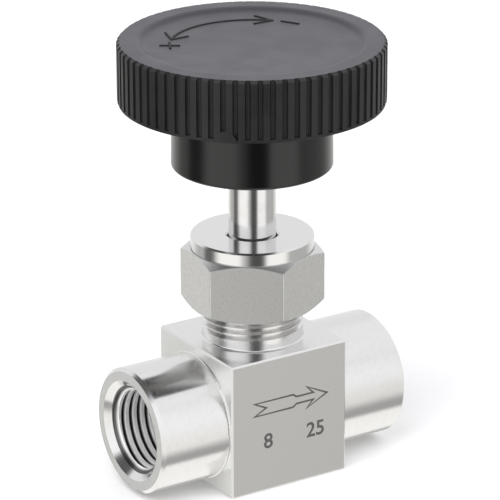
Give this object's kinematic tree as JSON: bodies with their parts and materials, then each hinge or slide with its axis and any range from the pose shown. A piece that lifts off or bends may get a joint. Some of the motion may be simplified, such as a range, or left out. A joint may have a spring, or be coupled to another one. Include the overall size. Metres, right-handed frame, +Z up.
{
  "type": "needle valve",
  "caption": "Bar-stock needle valve with in-line female threaded ports, packed stem, hexagonal gland nut and round black ribbed handwheel.",
  "frame": {"origin": "centre of the bar's flat underside, on the stem's axis", "axes": "+Z up the stem to the handwheel, +X out of the outlet port, -Y the side that carries the flow arrow"},
  "size_m": [0.0428, 0.039, 0.0662],
  "materials": {
    "stainless_body": "satin flats with turned, polished ends",
    "stainless_nut": "satin flats with a polished collar",
    "stainless_polished": "ground and polished",
    "black_plastic": "moulded, semi-gloss",
    "brass": "turned",
    "dark_steel": "black oxide",
    "ptfe": "smooth, waxy"
  },
  "bodies": {
    "valve": {"valve_body": "stainless_body", "lower_packing_support": "stainless_polished", "packing_ring_1": "ptfe", "packing_ring_2": "ptfe", "packing_ring_3": "ptfe", "packing_ring_4": "ptfe", "upper_packing_support": "stainless_polished"},
    "needle": {"needle_tip": "stainless_polished"},
    "stem_and_wheel": {"stem": "stainless_polished", "handwheel": "black_plastic", "handwheel_insert": "brass", "set_screw": "dark_steel"},
    "gland_sleeve": {"gland": "stainless_polished"},
    "packing_nut": {"gland_nut": "stainless_nut"}
  },
  "joints": [
    {"name": "needle_lift", "type": "slide", "parent": "valve", "child": "needle", "axis": [0, 0, 1], "range_m": [-0.005, 0]},
    {"name": "handwheel_turn", "type": "hinge", "parent": "needle", "child": "stem_and_wheel", "pos_m": [0, 0, 0.0187], "axis": [0, 0, 1], "range_deg": [-1800, 0]},
    {"name": "gland_lift", "type": "slide", "parent": "valve", "child": "gland_sleeve", "axis": [0, 0, 1], "range_m": [0, 0.002]},
    {"name": "gland_nut_turn", "type": "hinge", "parent": "gland_sleeve", "child": "packing_nut", "pos_m": [0, 0, 0.0339], "axis": [0, 0, 1], "range_deg": [0, 720]}
  ],
  "couplings": [
    {"joint": "needle_lift", "follows": "handwheel_turn", "m_per_rad": 0.00015915},
    {"joint": "gland_lift", "follows": "gland_nut_turn", "m_per_rad": 0.00015915}
  ]
}
